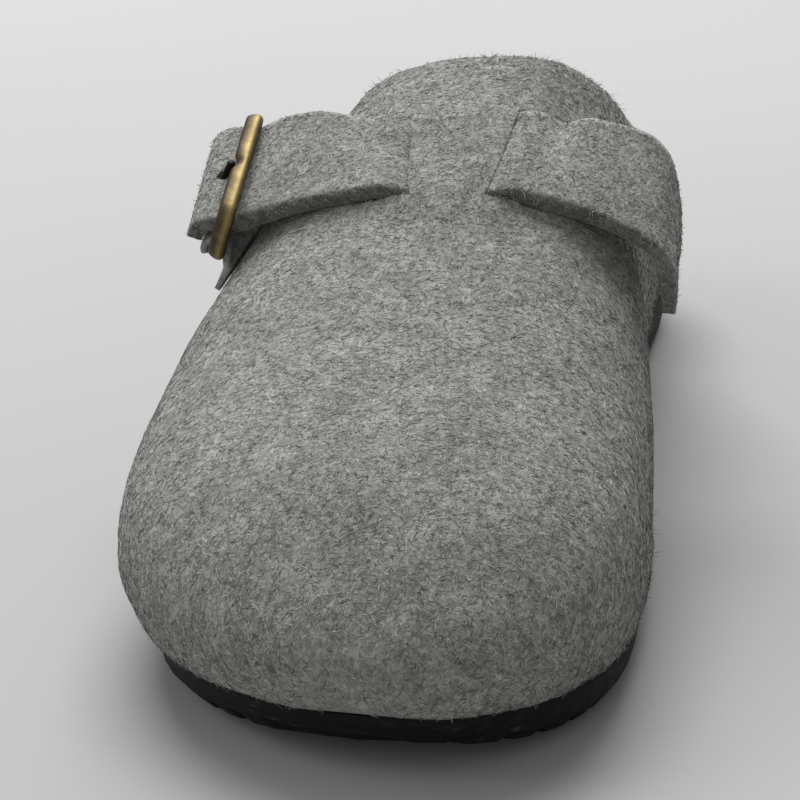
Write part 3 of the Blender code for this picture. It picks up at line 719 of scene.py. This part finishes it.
# %% Floor and lights
FLOOR_WIDTH = 6.0
FLOOR_FRONT, FLOOR_BACK = -3.0, 1.1
BACKDROP_ROUND = 0.9
BACKDROP_TOP = 3.0


def floor_material():
    """Pale matt paper."""
    made, tree, shader, where = new_material("pale studio paper")
    cloud = noise_at(tree, where, 400.0, 2.0)
    colour = ramp(tree, cloud, [(0.3, "#a4a4a4"), (0.7, "#a8a8a8")])
    tree.links.new(colour, shader.inputs["Base Color"])
    shader.inputs["Roughness"].default_value = 0.8
    shader.inputs["Specular IOR Level"].default_value = 0.2
    return made


def studio_floor():
    """Floor and backdrop in one sweep."""
    profile = [(FLOOR_FRONT, 0.0), (FLOOR_BACK, 0.0)]
    for k in range(1, 13):
        angle = math.radians(90 * k / 12)
        y = FLOOR_BACK + BACKDROP_ROUND * math.sin(angle)
        profile.append((y, BACKDROP_ROUND * (1 - math.cos(angle))))
    profile.append((FLOOR_BACK + BACKDROP_ROUND, BACKDROP_TOP))
    build = bmesh.new()
    left = [build.verts.new((-FLOOR_WIDTH / 2, y, z)) for y, z in profile]
    right = [build.verts.new((FLOOR_WIDTH / 2, y, z)) for y, z in profile]
    for k in range(len(profile) - 1):
        build.faces.new((left[k], right[k], right[k + 1], left[k + 1]))
    mesh = bpy.data.meshes.new("studio_floor")
    build.to_mesh(mesh)
    build.free()
    mesh.materials.append(floor_material())
    mesh.shade_smooth()
    floor = bpy.data.objects.new("studio_floor", mesh)
    bpy.context.scene.collection.objects.link(floor)


def soft_light(name, place, target, size, watts):
    """A square soft light that looks at a target."""
    lamp = bpy.data.lights.new(name, "AREA")
    lamp.shape = "SQUARE"
    lamp.size = size
    lamp.energy = watts
    holder = bpy.data.objects.new(name, lamp)
    holder.location = place
    holder.rotation_euler = (Vector(target) - Vector(place)).to_track_quat("-Z", "Y").to_euler()
    bpy.context.scene.collection.objects.link(holder)


studio_floor()
soft_light("overhead_softbox", (-0.25, 0.85, 1.35), (0, 0, 0), 1.3, 41)
soft_light("left_fill", (-1.4, -0.2, 0.9), (0, -0.05, 0.03), 0.9, 5)
soft_light("front_fill", (-0.3, -1.6, 0.7), (0, -0.05, 0.03), 1.2, 1.2)

world = bpy.data.worlds.new("soft_surround")
world.use_nodes = True
world.node_tree.nodes["Background"].inputs["Color"].default_value = light_of("#ebebeb")
world.node_tree.nodes["Background"].inputs["Strength"].default_value = 0.47
bpy.context.scene.world = world

# %% [markdown]
# ## Camera
# The camera stands in front of the toe, a little to the medial side and above, where the
# photograph was taken from. From the photograph's own direction it turns the shortest way to face
# the one shoe, which rolls it a little, and its lens is as long as fills the picture.

# %% Camera
CAMERA_PLACE = Vector((120.4, -565.9, 259.8)) * MM
PHOTO_TURN, PHOTO_DIP = -7.01, -22.41  # degrees from +Y towards +X, and above the horizon
SENSOR = 36.0
FILL = 0.86


def shoe_points():
    """Points of the felt and the sole, as the frame for the picture."""
    points = []
    for thing in (upper, strap, nodes["outsole"]):
        points += [v.co for v in thing.data.vertices][::7]
    return points


def aim_camera():
    """Turn the camera to the middle of the shoe in the picture and choose the lens."""
    data = bpy.data.cameras.new("studio_camera")
    data.sensor_width = SENSOR
    data.clip_start = 0.01
    camera = bpy.data.objects.new("studio_camera", data)
    bpy.context.scene.collection.objects.link(camera)
    camera.location = CAMERA_PLACE
    points = shoe_points()
    azimuth, dip = math.radians(PHOTO_TURN), math.radians(PHOTO_DIP)
    photo_forward = Vector(
        (math.sin(azimuth) * math.cos(dip), math.cos(azimuth) * math.cos(dip), math.sin(dip))
    )
    level = photo_forward.to_track_quat("-Z", "Y")
    forward = (sum(points, Vector()) / len(points) - CAMERA_PLACE).normalized()
    for _ in range(6):
        turn = photo_forward.rotation_difference(forward) @ level
        right, up = turn @ Vector((1, 0, 0)), turn @ Vector((0, 1, 0))
        seen = [(p - CAMERA_PLACE) for p in points]
        flat = [(d.dot(right) / d.dot(forward), d.dot(up) / d.dot(forward)) for d in seen]
        xs, ys = [f[0] for f in flat], [f[1] for f in flat]
        forward = (forward + right * (max(xs) + min(xs)) / 2 + up * (max(ys) + min(ys)) / 2).normalized()
    camera.rotation_mode = "QUATERNION"
    camera.rotation_quaternion = photo_forward.rotation_difference(forward) @ level
    span = max(max(xs) - min(xs), max(ys) - min(ys))
    data.lens = SENSOR * FILL / span
    bpy.context.scene.camera = camera
    print("lens", round(data.lens, 1), "mm")


aim_camera()
bpy.context.scene.view_settings.view_transform = "Standard"
